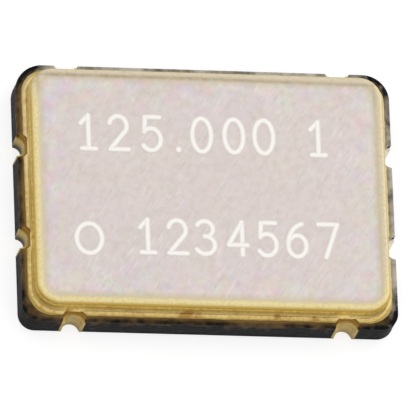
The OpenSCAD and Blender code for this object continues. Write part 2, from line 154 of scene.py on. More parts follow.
def linear(code):
    """sRGB hex to the linear colour that a shader takes."""
    parts = np.array([int(code[i:i + 2], 16)/255 for i in (1, 3, 5)])
    parts = np.where(parts <= 0.04045, parts/12.92, ((parts + 0.055)/1.055)**2.4)
    return (*parts.tolist(), 1.0)


def add(tree, kind, settings=None, links=None):
    """Adds a shader node: settings are its properties or its inputs' values, and links are the sockets that its
    inputs take. A colour Mix has its share in input 0, its colours in 6 and 7, and its result in output 2."""
    made = tree.nodes.new("ShaderNode" + kind)
    for key, value in (settings or {}).items():
        if isinstance(key, str) and hasattr(made, key):
            setattr(made, key, value)
        else:
            made.inputs[key].default_value = value
    for key, source in (links or {}).items():
        tree.links.new(source, made.inputs[key])
    return made


def new_material(name):
    """An empty node material: the material, its tree, its main shader and the Object coordinates."""
    material = bpy.data.materials.new(name)
    material.use_nodes = True
    tree = material.node_tree
    shader = tree.nodes["Principled BSDF"]
    place = add(tree, "TexCoord")
    return material, tree, shader, place.outputs["Object"]


def keep_attribute(piece, name, values):
    """Stores one number per point of the piece for its material to read."""
    layer = piece.data.attributes.new(name, "FLOAT", "POINT")
    layer.data.foreach_set("value", np.asarray(values, np.float32).ravel())


def body_loop(inset, z):
    """The body's outline with its notches, drawn in by inset, at height z."""
    size = (BODY_L - 2*inset, BODY_W - 2*inset, BODY_R - inset)
    return level(rounded_outline(*size, inset, notch_r=NOTCH_R + inset)[0], z)


def worn_edge(z, way):
    """Loops of the body's lower edge (way 1) or upper edge (way -1), from its flat face at height z outwards: a
    quarter circle, drawn in by one less the sine and away from z by one less the cosine, times its radius."""
    return [body_loop(EDGE_R*(1 - math.sin(angle)), z + way*EDGE_R*(1 - math.cos(angle)))
            for angle in np.radians([0, 30, 60, 90])]


def snapped_corners(points):
    """Moves an outline's corner points along their own direction, from the drawn radius onto the corner's own
    one. Their reach from the drawn corner's centre is that of a circle whose centre is shifted along the
    diagonal, or, where a tighter circle hasn't begun, the drawn radius over the cosine, on the straight side."""
    offset = np.abs(points[:, :2]) - body_half
    on_corner = (offset > 0).all(1)
    radius = CORNER_R[(points[:, 0] > 0).astype(int), (points[:, 1] > 0).astype(int)]
    toward = offset/np.maximum(np.linalg.norm(offset, axis=1), 1e-6)[:, None]
    shift = BODY_R - radius
    along = shift*toward.sum(1)
    circle = along + np.sqrt(np.maximum(radius**2 - 2*shift**2 + along**2, 0))
    straight = BODY_R/np.maximum(toward.max(1), 0.5)
    begun = toward.min(1) > (1 - radius/BODY_R)*toward.max(1)
    further = np.where(on_corner, np.where(begun, circle, straight) - BODY_R, 0)
    moved = points.copy()
    moved[:, :2] += np.sign(points[:, :2])*toward*further[:, None]
    return moved


body_half = np.array([BODY_L/2 - BODY_R, BODY_W/2 - BODY_R])
plain_side = rounded_outline(BODY_L, BODY_W, BODY_R)[0]
side, side_normal = rounded_outline(BODY_L, BODY_W, BODY_R, notch_r=NOTCH_R)
on_notch = np.abs(side - plain_side).sum(1) > 0.001
body_loops = worn_edge(LAYERS[0], 1)
for z in np.linspace(LAYERS[0] + EDGE_R, LAYERS[-1] - EDGE_R, 22)[1:-1]:
    loop = level(side, z)
    seam = sum(SEAM_DEPTH*math.exp(-((z - layer)/SEAM_W)**2) for layer in LAYERS[1:-1])
    grain = sum(depth*rough(loop, size, seed) for depth, size, seed in GRAINS) - STAND_BACK - seam
    loop[:, :2] += side_normal*np.where(on_notch, -NOTCH_BACK, grain)[:, None]
    body_loops.append(loop)
body_loops += worn_edge(LAYERS[-1], -1)[::-1]
body_loops += [body_loop(inset, LAYERS[-1]) for inset in (0.03, 0.06, 0.10, 0.14)]
body_loops = [snapped_corners(loop) for loop in body_loops]
for k, (length, width, middle) in enumerate(OPENINGS):
    opening = rounded_outline(length, width, OPENING_R, centre=middle)[0]
    body_loops += [level(opening, LAYERS[4 - k]), level(opening, LAYERS[3 - k])]
package = shell("ceramic_package", body_loops)

# Black alumina: dull and unglazed, with a grain of 0.05 mm and a few faint pale spots. Along the back and the
# right side of the rim the pale spots are painted highlight, as if lit by the back-right lamp. Fumes of the
# braze leave a mottled brown bloom within 0.1 mm of the gold, which fades down the sides. Its flux leaves a
# golden-brown glaze over the lining of each notch, but in the notches on the right side the ceramic is pale
# instead.
material, tree, shader, place = new_material("fired_black_alumina")
grain = add(tree, "TexNoise", {"Scale": 1/(0.05*MM), "Detail": 3.0}, {"Vector": place})
cloud = add(tree, "TexNoise", {"Scale": 1/(0.16*MM), "Detail": 3.0}, {"Vector": place})
dark = add(tree, "Mix", {"data_type": "RGBA", 6: linear("#050507"), 7: linear("#111112")},
           {0: grain.outputs["Fac"]})
patch = add(tree, "MapRange", {"From Min": 0.54, "From Max": 0.72}, {"Value": cloud.outputs["Fac"]})
body_tone = add(tree, "Mix", {"data_type": "RGBA", 7: linear("#1f1e22")},
                {0: patch.outputs["Result"], 6: dark.outputs[2]})
# Pale spots: painted highlight on the lit back and right rim strip, and pale ceramic in the right notches
pale_spots_and_light = add(tree, "Attribute", {"attribute_name": "pale_spots_and_light"})
spot = add(tree, "Math", {"operation": "MULTIPLY_ADD", 1: 0.9},
           {0: cloud.outputs["Fac"], 2: pale_spots_and_light.outputs["Fac"]})
spot_share = add(tree, "MapRange", {"From Min": 0.68, "From Max": 1.2, "To Max": 0.9},
                 {"Value": spot.outputs["Value"]})
spotted = add(tree, "Mix", {"data_type": "RGBA", 7: linear("#d6d2c8")},
              {0: spot_share.outputs["Result"], 6: body_tone.outputs[2]})
bloom = add(tree, "Attribute", {"attribute_name": "bloom"})
bloom_spot = add(tree, "Math", {"operation": "MULTIPLY_ADD", 1: 1.1},
                 {0: cloud.outputs["Fac"], 2: bloom.outputs["Fac"]})
bloom_share = add(tree, "MapRange", {"From Min": 0.72, "From Max": 1.65, "To Max": 0.9},
                  {"Value": bloom_spot.outputs["Value"]})
flux = add(tree, "Attribute", {"attribute_name": "flux"})
bloom_tone = add(tree, "Mix", {"data_type": "RGBA", 6: linear("#8c7048"), 7: linear("#b88a3a")},
                 {0: flux.outputs["Fac"]})
browned = add(tree, "Mix", {"data_type": "RGBA"},
              {0: bloom_share.outputs["Result"], 6: spotted.outputs[2], 7: bloom_tone.outputs[2]})
tree.links.new(browned.outputs[2], shader.inputs["Base Color"])
shine = add(tree, "MapRange", {"To Min": 0.5, "To Max": 0.8}, {"Value": grain.outputs["Fac"]})
tree.links.new(shine.outputs["Result"], shader.inputs["Roughness"])
relief = add(tree, "Bump", {"Strength": 0.6, "Distance": 0.004*MM}, {"Height": grain.outputs["Fac"]})
tree.links.new(relief.outputs["Normal"], shader.inputs["Normal"])
shader.inputs["IOR"].default_value = 1.5
shader.inputs["Specular IOR Level"].default_value = 0.10
package.data.materials.append(material)

# Where the bloom, the glaze and the pale spots lie: how deep each reaches below the rim, and on the rim how the
# bloom thickens with the distance from the edge
RIM_DEPTH, SIDE_DEPTH, GLAZE_DEPTH, GLAZE_FADE, RIM_WIDTH = 0.06, 0.3, 0.14, 0.04, 0.1
points = np.concatenate(body_loops)
rise = points[:, 2] - LAYERS[-1]
near_rim = np.clip((rise + RIM_DEPTH)/RIM_DEPTH, 0, 1)
on_side = np.clip((rise + SIDE_DEPTH)/SIDE_DEPTH, 0, 1)*0.5
from_edge = np.linalg.norm(points[:, :2] - np.tile(snapped_corners(plain_side), (len(body_loops), 1)), axis=1)
in_notch = (from_edge > 0.05) & (rise < -0.001)
in_right_notch = in_notch & (points[:, 0] > 3.2)
on_rim = near_rim*np.clip(0.4 + (from_edge/RIM_WIDTH)**2.5, 0, 1.5)
mottle = 0.9 + 0.3*rough(points*[1, 1, 0], 0.6, 6)
bloom_level = np.where(in_notch, np.clip((rise + GLAZE_DEPTH)/GLAZE_FADE, 0, 1.4),
                       np.maximum(on_side, on_rim)*mottle)
at_corner = np.clip((np.abs(points[:, :2]).sum(1) - 5.1)/0.5, 0, 1)
# Along the back and the right side, less at their corners, the rim strip is painted as lit by the back-right
# lamp:
# pale spots of painted highlight, and less bloom
lit_back_right = np.clip(np.maximum((points[:, 0] - 3.25)/0.1, (points[:, 1] - 2.25)/0.1), 0, 1)
lit_back_right *= 1 - 0.65*at_corner
spots = near_rim*lit_back_right*(0.6 + 0.2*rough(points*[1, 1, 0], 0.3, 5))
keep_attribute(package, "bloom", bloom_level*(1 - 0.6*lit_back_right)*(1 - 0.6*at_corner))
keep_attribute(package, "flux", in_notch & ~in_right_notch)
# Painted highlight: pale spots along the lit back and right rim strip, and pale ceramic in the right notches
keep_attribute(package, "pale_spots_and_light", np.where(in_right_notch, 1.0, spots))
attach(package, "root")
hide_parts("ceramic_base")


# Terminals, tracks and lands
# Tungsten paste printed on the sheets before firing, then plated with nickel and gold. One conductor runs from
# each soldering pad up the notch and through the wall to its bonding finger.
LINING_TOP = LAYERS[-1] - 0.10
# How far from a lining's upper edge, and from the soldering plane, a height still counts as edge or as pad
EDGE_BAND, PAD_BAND = 0.012, 0.031


def lamp_paleness(points):
    """How much painted highlight pales the gold at each point: pale along the right side except its front, and a
    little along the back half of the left side, as if lit by the back-right lamp."""
    x, y = points[:, 0], points[:, 1]
    right = 0.8*np.clip((x - 3.15)/0.1, 0, 1)*np.clip((y + 2.3)/0.8, 0, 1)
    left = 0.45*np.clip((-x - 3.1)/0.1, 0, 1)*np.clip((y + 0.2)/0.8, 0, 1)
    return np.maximum(right, left)


def gold_plating(name, edge, fade_from, fade_to, fade_share, foot_tone):
    """Matt gold on printed tungsten: warm and dull, with the 0.05 mm weave of the printing screen under it. The
    plating is thick and pale on a lining's upper edge. Between the two heights its colour turns downwards
    towards the foot tone, by up to the given share. The soldering pads keep the full colour."""
    material, tree, shader, place = new_material(name)
    screen = add(tree, "TexNoise", {"Scale": 1/(0.05*MM), "Detail": 2.0}, {"Vector": place})
    cloud = add(tree, "TexNoise", {"Scale": 1/(0.14*MM), "Detail": 2.0}, {"Vector": place})
    tone = add(tree, "Mix", {"data_type": "RGBA", 6: linear("#9f7f38"), 7: linear("#bea96a")},
               {0: cloud.outputs["Fac"]})
    height = add(tree, "SeparateXYZ", None, {"Vector": place}).outputs["Z"]
    on_edge = add(tree, "Math", {"operation": "COMPARE", 1: LINING_TOP*MM, 2: EDGE_BAND*MM},
                  {0: height})
    edged = add(tree, "Mix", {"data_type": "RGBA", 7: linear(edge)},
                {0: on_edge.outputs["Value"], 6: tone.outputs[2]})
    on_pad = add(tree, "Math", {"operation": "COMPARE", 1: 0.0, 2: PAD_BAND*MM}, {0: height})
    most = add(tree, "Math", {"operation": "MULTIPLY_ADD", 1: -fade_share, 2: fade_share},
               {0: on_pad.outputs["Value"]})
    fade_level = add(tree, "MapRange", {"From Min": fade_from*MM, "From Max": fade_to*MM},
               {"Value": height, "To Max": most.outputs["Value"]})
    faded = add(tree, "Mix", {"data_type": "RGBA", 7: linear(foot_tone)},
                  {0: fade_level.outputs["Result"], 6: edged.outputs[2]})
    # Painted highlight: paler gold where the back-right lamp falls
    lamp_pale = add(tree, "Attribute", {"attribute_name": "lamp_pale"})
    lamp_paled = add(tree, "Mix", {"data_type": "RGBA", 7: linear("#cabd92")},
                {0: lamp_pale.outputs["Fac"], 6: faded.outputs[2]})
    tree.links.new(lamp_paled.outputs[2], shader.inputs["Base Color"])
    shader.inputs["Metallic"].default_value = 1.0
    shine = add(tree, "MapRange", {"To Min": 0.35, "To Max": 0.6}, {"Value": screen.outputs["Fac"]})
    tree.links.new(shine.outputs["Result"], shader.inputs["Roughness"])
    relief = add(tree, "Bump", {"Strength": 0.5, "Distance": 0.003*MM},
                 {"Height": screen.outputs["Fac"]})
    tree.links.new(relief.outputs["Normal"], shader.inputs["Normal"])
    return material


def finish_nodes(names, material):
    """Gives carried-over CAD parts their material."""
    for name in names:
        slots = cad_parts[name].data.materials
        slots.clear()
        slots.append(material)


# The left test terminals' linings darken towards their foot, to near black. The right ones are near white. The
# soldering terminals darken a little towards their foot.
dark_footed_gold_plating = gold_plating("dark_footed_gold_plating", "#bfa862", 0.34, 0.14, 0.93, "#1e1a10")
near_white_plating = gold_plating("near_white_terminal_plating", "#ece8d8", 0.50, 0.40, 0.95, "#e4e0cc")
matt_gold_plating = gold_plating("matt_gold_plating", "#dcc679", 0.22, 0.03, 0.45, "#4a4130")
finish_nodes(["side_terminal_1", "side_terminal_4"], dark_footed_gold_plating)
finish_nodes(["side_terminal_2", "side_terminal_3"], near_white_plating)
finish_nodes(["terminal_enable", "terminal_ground", "terminal_output", "terminal_supply"], matt_gold_plating)
finish_nodes(["crystal_land_a", "crystal_land_b"], matt_gold_plating)


# Sealing frame
# The same printed and plated metal on the rim, as a flat frame that the ring is brazed to. It stays clear of
# the notches, so that it can't touch a terminal.
FRAME_LOW, FRAME_TOP = LAYERS[-1], LAYERS[-1] + 0.02
FRAME_MARGIN, FRAME_R, KEEP_OUT = 0.10, 0.45, 0.03
FRAME_IN, FRAME_IN_R = 0.63, 0.27
FRAME_L, FRAME_W = BODY_L - 2*FRAME_MARGIN, BODY_W - 2*FRAME_MARGIN
WAVER = 0.006
# The paste's upper edge is rounded: how far each loop is drawn in, and how far below the top it lies
PASTE_EDGE = ((0, 0.008), (0.003, 0.002), (0.008, 0))
keep_reach = math.sqrt((NOTCH_R + KEEP_OUT)**2 - (NOTCH_OUT + FRAME_MARGIN)**2)
FRAME_STEPS = outline_steps(FRAME_L, FRAME_W, FRAME_R, keep_reach)


def frame_loop(inset, z):
    """Outline of the frame, drawn in by inset, with a printed edge that wavers by some micrometres."""
    outline, normal = rounded_outline(FRAME_L - 2*inset, FRAME_W - 2*inset, FRAME_R - inset,
                                      FRAME_MARGIN + inset, notch_r=NOTCH_R + KEEP_OUT + inset,
                                      steps=FRAME_STEPS)
    loop = level(outline, z)
    loop[:, :2] -= normal*(WAVER + WAVER*rough(loop*[1, 1, 0], 0.11, 8))[:, None]
    return loop


frame_in = rounded_outline(BODY_L - 2*FRAME_IN, BODY_W - 2*FRAME_IN, FRAME_IN_R, steps=FRAME_STEPS)[0]
frame_loops = [level(frame_in, FRAME_LOW), frame_loop(0, FRAME_LOW)]
frame_loops += [frame_loop(inset, FRAME_TOP - drop) for inset, drop in PASTE_EDGE]
frame_loops.append(level(frame_in, FRAME_TOP))
plated_frame = shell("plated_sealing_frame", frame_loops, around=True)
# Painted highlight: the frame's gold is paler along the right side
keep_attribute(plated_frame, "lamp_pale", lamp_paleness(np.concatenate(frame_loops)))
plated_frame.data.materials.append(matt_gold_plating)
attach(plated_frame, "root")
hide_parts("seal_frame")


# Braze
# Silver-copper braze, melted under the ring in a furnace: a thin layer below it and a hollow fillet round its
# foot, plated with gold afterwards. It draws back at the notches.
RING_INSET, RING_R = 0.18, 0.46
RING_IN, RING_IN_R = 0.60, 0.30
RING_LOW = FRAME_TOP + 0.02
RING_L, RING_W = BODY_L - 2*RING_INSET, BODY_W - 2*RING_INSET
# Width of the fillet, how much of it narrows upwards, thickness of its toe, how far it stands back, and how far
# the braze reaches under the ring. At a notch it draws back over this much to each side
FILLET, NARROWING, TOE, TOE_BACK, TUCK = 0.06, 0.97, 0.004, 0.001, 0.005
DRAW_BACK = 0.24
RING_STEPS = outline_steps(RING_L, RING_W, RING_R, DRAW_BACK)
ring_in = rounded_outline(BODY_L - 2*RING_IN, BODY_W - 2*RING_IN, RING_IN_R, steps=RING_STEPS)[0]
ring_face, ring_normal = rounded_outline(RING_L, RING_W, RING_R, steps=RING_STEPS)
toe_size = (RING_L + 2*FILLET, RING_W + 2*FILLET, RING_R + FILLET)
toe_line = rounded_outline(*toe_size, RING_INSET - FILLET, notch_r=NOTCH_R + KEEP_OUT, steps=RING_STEPS)[0]
plain_toe = rounded_outline(*toe_size, steps=RING_STEPS)[0]
spread = np.clip(FILLET - np.abs(toe_line - plain_toe).sum(1), 0, FILLET)
spread *= 0.93 + 0.07*rough(level(ring_face, 0), 0.3, 12)


def round_the_ring(out, z):
    """The ring's outline moved outwards by each point's own distance, at height z."""
    return level(ring_face + ring_normal*(out - TOE_BACK)[:, None], z)


# The fillet is a quarter of a circle whose centre lies outside and above, so that it sags towards the corner:
# it narrows with the sine and rises with one less the cosine
braze_loops = [level(ring_in, FRAME_TOP), round_the_ring(spread, FRAME_TOP)]
for angle in np.radians(np.linspace(0, 90, 9)):
    loop = round_the_ring(spread*(1 - math.sin(angle)*NARROWING), FRAME_TOP)
    loop[:, 2] += TOE + (spread - TOE).clip(0)*(1 - math.cos(angle))
    braze_loops.append(loop)
tucked = rounded_outline(RING_L - 2*TUCK, RING_W - 2*TUCK, RING_R - TUCK, steps=RING_STEPS)[0]
braze_loops += [level(tucked, RING_LOW), level(ring_in, RING_LOW)]
braze = shell("braze_fillet", braze_loops, around=True)
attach(braze, "root")
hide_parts("ring_braze")


# Seal ring
# A frame stamped from iron-nickel-cobalt sheet, brazed down and plated with nickel and gold. Its outer wall
# keeps the upright drag marks of the die and a small radius at the top.
RING_TOP, RING_EDGE = 0.91, 0.03
DRAG_DEPTH, DENT_DEPTH = 0.0022, 0.002


def ring_loop(inset, z):
    """Outline of the ring's wall at height z. Its drag marks hardly change with the height, its dents do, and
    the wall stands back by the depth of both, so that it stays in the box."""
    outline, normal = rounded_outline(RING_L - 2*inset, RING_W - 2*inset, RING_R - inset, steps=RING_STEPS)
    loop = level(outline, z)
    mark = DRAG_DEPTH*rough(loop*[1, 1, 0.15], 0.07, 21) + DENT_DEPTH*rough(loop, 0.2, 22)
    loop[:, :2] += normal*(mark - (DRAG_DEPTH + DENT_DEPTH))[:, None]
    return loop


ring_loops = [level(ring_in, RING_LOW)]
ring_loops += [ring_loop(0, z) for z in np.linspace(RING_LOW, RING_TOP - RING_EDGE, 12)]
ring_loops += [ring_loop(RING_EDGE*(1 - math.cos(a)), RING_TOP - RING_EDGE*(1 - math.sin(a)))
               for a in np.radians([18, 36, 54, 72, 90])]
ring_loops.append(level(ring_in, RING_TOP))
ring = shell("stamped_seal_ring", ring_loops, around=True)

# Bright gold plating over braze and ring: pale and rather smooth on the fillet, which is painted as lit. The
# wall above it is painted darker and olive as shade, and so is the fillet's toe at the frame, with brown-orange
# flow marks
# 0.2 mm long where the braze crept up and the welding heat worked.
material, tree, shader, place = new_material("bright_gold_plating")
stretch = add(tree, "Mapping", {"Scale": (1, 1, 0.6)}, {"Vector": place})
flow = add(tree, "TexNoise", {"Scale": 1/(0.28*MM), "Detail": 3.0, "Roughness": 0.6},
           {"Vector": stretch.outputs["Vector"]})
fine = add(tree, "TexNoise", {"Scale": 1/(0.07*MM), "Detail": 2.0}, {"Vector": place})
fine_share = add(tree, "MapRange", {"From Min": 0.3, "From Max": 0.7}, {"Value": fine.outputs["Fac"]})
# Painted light and shade: a pale lit tone for the fillet and a darker olive shaded tone for the wall
lit_tone = add(tree, "Mix", {"data_type": "RGBA", 6: linear("#efd68c"), 7: linear("#f9ecb8")},
                  {0: fine_share.outputs["Result"]})
shaded_tone = add(tree, "Mix", {"data_type": "RGBA", 6: linear("#ae9244"), 7: linear("#d4b968")},
                {0: fine_share.outputs["Result"]})
side_shade = add(tree, "Attribute", {"attribute_name": "side_shade"})
tone = add(tree, "Mix", {"data_type": "RGBA"},
           {0: side_shade.outputs["Fac"], 6: lit_tone.outputs[2], 7: shaded_tone.outputs[2]})
stain = add(tree, "MapRange", {"From Min": 0.54, "From Max": 0.68, "To Max": 0.75},
            {"Value": flow.outputs["Fac"]})
stained = add(tree, "Mix", {"data_type": "RGBA", 7: linear("#b07f34")},
              {0: stain.outputs["Result"], 6: tone.outputs[2]})
# Painted highlight: paler gold where the back-right lamp falls
lamp_pale = add(tree, "Attribute", {"attribute_name": "lamp_pale"})
lamp_paled = add(tree, "Mix", {"data_type": "RGBA", 7: linear("#f2e2b4")},
            {0: lamp_pale.outputs["Fac"], 6: stained.outputs[2]})
tree.links.new(lamp_paled.outputs[2], shader.inputs["Base Color"])
shader.inputs["Metallic"].default_value = 1.0
shader.inputs["Specular Tint"].default_value = linear("#f0dcae")
shine = add(tree, "MapRange", {"To Min": 0.48, "To Max": 0.68}, {"Value": flow.outputs["Fac"]})
tree.links.new(shine.outputs["Result"], shader.inputs["Roughness"])
relief = add(tree, "Bump", {"Strength": 0.25, "Distance": 0.003*MM}, {"Height": fine.outputs["Fac"]})
tree.links.new(relief.outputs["Normal"], shader.inputs["Normal"])
for piece in (braze, ring):
    piece.data.materials.append(material)

# Painted shade: the wall is darkened from 0.2 mm above its foot, and the fillet nearly so where it meets the
# frame
SHADE_FROM, SHADE_FADE = 0.07, 0.13
TOE_SHADE, TOE_FADE = 0.045, 0.03
ring_points = np.concatenate(ring_loops)
keep_attribute(ring, "side_shade", np.clip((ring_points[:, 2] - RING_LOW - SHADE_FROM)/SHADE_FADE, 0, 1))
# Painted highlight: the gold is paler along the right side
keep_attribute(ring, "lamp_pale", 0.4*lamp_paleness(ring_points))
braze_points = np.concatenate(braze_loops)
keep_attribute(braze, "side_shade", 0.65*np.clip((FRAME_TOP + TOE_SHADE - braze_points[:, 2])/TOE_FADE, 0, 1))
keep_attribute(braze, "lamp_pale", lamp_paleness(braze_points))
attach(ring, "root")
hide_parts("seal_ring")


# Chip and crystal adhesive
# Silver-filled resin under the chip and the crystal's fixed end, cured to a dull grey. Its fine flakes are
# drawn 0.02 mm wide.
material, tree, shader, place = new_material("silver_filled_epoxy")
flake = add(tree, "TexVoronoi", {"Scale": 1/(0.02*MM)}, {"Vector": place})
tone = add(tree, "Mix", {"data_type": "RGBA", 6: linear("#9c9890"), 7: linear("#6f6b64")},
           {0: flake.outputs["Distance"]})
tree.links.new(tone.outputs[2], shader.inputs["Base Color"])
shader.inputs["Metallic"].default_value = 0.3
shader.inputs["Roughness"].default_value = 0.6
finish_nodes(["chip_adhesive", "crystal_adhesive_a", "crystal_adhesive_b"], material)


# Oscillator chip
# A sawn silicon die with its circuit under clear glass. The blocks of the circuit show as small rectangles in
# slightly different greys, 0.1 to 0.2 mm across.
material, tree, shader, place = new_material("passivated_silicon")
block = add(tree, "TexVoronoi", {"distance": "CHEBYCHEV", "Scale": 1/(0.13*MM), "Randomness": 0.8},
            {"Vector": place})
tone = add(tree, "Mix", {"data_type": "RGBA", 6: linear("#4d5563"), 7: linear("#7a7390")},
           {0: block.outputs["Color"]})
tree.links.new(tone.outputs[2], shader.inputs["Base Color"])
shader.inputs["Metallic"].default_value = 0.6
shader.inputs["Roughness"].default_value = 0.18
finish_nodes(["oscillator_chip"], material)


# Bond wires
# Drawn gold wire, 0.025 mm thick, welded by heat and ultrasound: a ball on the chip and a flat stitch on the
# finger. Drawing leaves it bright.
material, tree, shader, place = new_material("drawn_gold_wire")
draw = add(tree, "TexNoise", {"Scale": 1/(0.01*MM), "Detail": 1.0}, {"Vector": place})
tone = add(tree, "Mix", {"data_type": "RGBA", 6: linear("#e3b24a"), 7: linear("#f3d27c")},
           {0: draw.outputs["Fac"]})
tree.links.new(tone.outputs[2], shader.inputs["Base Color"])
shader.inputs["Metallic"].default_value = 1.0
shader.inputs["Roughness"].default_value = 0.2
finish_nodes([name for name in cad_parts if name.startswith("bond_wire_")], material)


# Crystal and electrodes
# A thin strip of quartz, lapped and etched, which leaves it clear with a slight haze. A film of gold on each
# face is its electrode, and shows the lapping as a satin sheen.
material, tree, shader, place = new_material("etched_quartz")
etch = add(tree, "TexNoise", {"Scale": 1/(0.03*MM), "Detail": 2.0}, {"Vector": place})
shine = add(tree, "MapRange", {"To Min": 0.12, "To Max": 0.3}, {"Value": etch.outputs["Fac"]})
tree.links.new(shine.outputs["Result"], shader.inputs["Roughness"])
tone = add(tree, "Mix", {"data_type": "RGBA", 6: linear("#e4ecef"), 7: linear("#f2f5f6")},
           {0: etch.outputs["Fac"]})
tree.links.new(tone.outputs[2], shader.inputs["Base Color"])
shader.inputs["IOR"].default_value = 1.54
shader.inputs["Transmission Weight"].default_value = 0.8
finish_nodes(["crystal_blank"], material)

material, tree, shader, place = new_material("evaporated_gold_film")
satin = add(tree, "TexNoise", {"Scale": 1/(0.03*MM), "Detail": 2.0}, {"Vector": place})
tone = add(tree, "Mix", {"data_type": "RGBA", 6: linear("#d9bf7e"), 7: linear("#ead9a6")},
           {0: satin.outputs["Fac"]})
tree.links.new(tone.outputs[2], shader.inputs["Base Color"])
shader.inputs["Metallic"].default_value = 1.0
shader.inputs["Roughness"].default_value = 0.3
finish_nodes(["electrode_top", "electrode_bottom"], material)


# Lid
# Nickel-plated iron-nickel-cobalt sheet, seam-welded to the ring by two tapered rollers. They round its edge,
# throw up a low crest of overlapping welds, and melt the ring's gold into the rim.
LID_INSET, FOOT_INSET = 0.03, 0.005
LID_L, LID_W, LID_R = RING_L - 2*LID_INSET, RING_W - 2*LID_INSET, RING_R - LID_INSET
LID_LOW, LID_TOP = RING_TOP, 1.02
SHOULDER, WELD_W, CREST, TINT_W = 0.06, 0.20, 0.012, 0.22
WELD_PITCH, RIPPLE = 0.12, 0.003
FLAT_Z = LID_TOP - CREST
# How far the painted shadow in the crest's hollow at the back lies from the edge, and its width
HOLLOW, HOLLOW_W = 0.13, 0.035
lid_edge = rounded_outline(LID_L, LID_W, LID_R, steps=RING_STEPS)[0]
lid_run = np.concatenate([[0], np.cumsum(np.linalg.norm(np.diff(lid_edge, axis=0), axis=1))])


def sheet_sag(points):
    """How far the rolled sheet lies below its highest places: 0.0012 mm times one plus a slow random wave."""
    return 0.0012*(1 + rough(points*[1, 1, 0], 0.8, 33))


def lid_loop(inset, z, ripple):
    """Outline of the lid drawn in by inset, at height z less the sheet's sag. The weld's ripple runs along it, a
    wave of overlapping hollows: the ripple's depth times the sine's size to the power of 1.5."""
    radius = max(LID_R - inset, 0.05)
    outline, normal = rounded_outline(LID_L - 2*inset, LID_W - 2*inset, radius, steps=RING_STEPS)
    loop = level(outline, z)
    turn = lid_run/WELD_PITCH + 0.35*rough(loop*[1, 1, 0], 0.5, 31)
    weld = -np.abs(np.sin(math.pi*turn))**1.5*(0.6 + 0.4*rough(loop*[1, 1, 0], 0.3, 32))
    loop[:, 2] += ripple*weld - sheet_sag(loop)
    loop[:, :2] -= normal*(np.abs(ripple)*0.5*(1 + weld))[:, None]
    return loop


# The lid's profile from its foot to its middle: inset, height and depth of the ripple, then how much each loop
# belongs to the rim and how much its gold is darkened as painted shade, where it faces sideways
profile = [(0.0, z, 0.0, 1.0, 1.0) for z in np.linspace(LID_LOW, LID_TOP - SHOULDER, 4)]
for angle in np.radians([15, 30, 45, 60, 75, 90]):
    profile.append((SHOULDER*(1 - math.cos(angle)), LID_TOP - SHOULDER*(1 - math.sin(angle)),
                    RIPPLE*math.sin(angle), 1.0,
                    min(1.0, max(0.0, (math.radians(62) - angle)/math.radians(30)))))
for share in np.linspace(0, 1, 9)[1:]:
    smooth = share*share*(3 - 2*share)
    profile.append((SHOULDER + share*(WELD_W - SHOULDER), LID_TOP - CREST*smooth, RIPPLE*(1 - share),
                    1 - share*(WELD_W - SHOULDER)/TINT_W, 0.0))
for inset in np.concatenate([[0.22, 0.25, 0.28], np.linspace(0.34, LID_W/2 - 0.06, 24)]):
    profile.append((inset, FLAT_Z, 0.0, max(0.0, 1 - (inset - SHOULDER)/TINT_W), 0.0))
foot = rounded_outline(LID_L - 2*FOOT_INSET, LID_W - 2*FOOT_INSET, LID_R, steps=RING_STEPS)[0]
lid_loops = [level(foot, LID_LOW)] + [lid_loop(*row[:3]) for row in profile]
lid = shell("welded_lid", lid_loops)
keep_attribute(lid, "rim", np.repeat([1.0] + [row[3] for row in profile], len(lid_edge)))
keep_attribute(lid, "side_shade", np.repeat([1.0] + [row[4] for row in profile], len(lid_edge)))
lid_points = np.concatenate(lid_loops)
from_side = np.minimum(LID_L/2 - np.abs(lid_points[:, 0]), LID_W/2 - np.abs(lid_points[:, 1]))
keep_attribute(lid, "edge_colour", np.clip(1 - (from_side - 0.2)/0.7, 0, 1))
# Painted light: the rim's gold is paler and greyer at the back and the right, as if lit by the back-right lamp
at_back = np.clip((lid_points[:, 1] - 1.6)/0.6, 0, 1)
at_right = np.clip((lid_points[:, 0] - 2.8)/0.3, 0, 1)*np.clip((lid_points[:, 1] + 1.9)/0.5, 0, 1)
keep_attribute(lid, "lamp_lit_rim", np.maximum(at_back, 0.8*at_right))
# The painted shadow in the crest's hollow thins out towards the right, and lies further in there
rightwards = np.clip(lid_points[:, 0]/2.5, 0, 1)
from_hollow = from_side - HOLLOW - 0.03*rightwards
keep_attribute(lid, "hollow_shadow", at_back*(1 - 0.35*rightwards)*np.exp(-(from_hollow/HOLLOW_W)**2))

# Rolled nickel plate: satin grey with a pink cast and cloudy handling marks. Faint scratches rise to the right
# and gather where it was handled most: they are drawn 0.05 mm wide, so that they show, and six times as long.
# Pale heat colours lie towards the edges. The rim takes the ring's gold, with a ragged border and a straw tint
# of heat inside it. Where the rim faces sideways its gold is painted darker as shade, and at the back and the
# right it is painted paler and greyer as light of the back-right lamp. A painted shadow darkens the rim's hollow
# at the back.
SCRATCH_TURN = math.radians(58)
material, tree, shader, place = new_material("rolled_nickel_plate")
turned = add(tree, "Mapping", {"vector_type": "TEXTURE", "Rotation": (0, 0, SCRATCH_TURN),
                                         "Scale": (6, 1, 1)}, {"Vector": place})
scratch = add(tree, "TexNoise", {"Scale": 1/(0.05*MM), "Detail": 2.0, "Roughness": 0.6},
              {"Vector": turned.outputs["Vector"]})
cloud = add(tree, "TexNoise", {"Scale": 1/(0.13*MM), "Detail": 3.0, "Roughness": 0.6},
            {"Vector": place})
tint = add(tree, "TexNoise", {"Scale": 1/(1.1*MM), "Detail": 2.0}, {"Vector": place})
oxide = add(tree, "TexNoise", {"Scale": 1/(0.3*MM), "Detail": 2.0, "Roughness": 0.6},
            {"Vector": place})
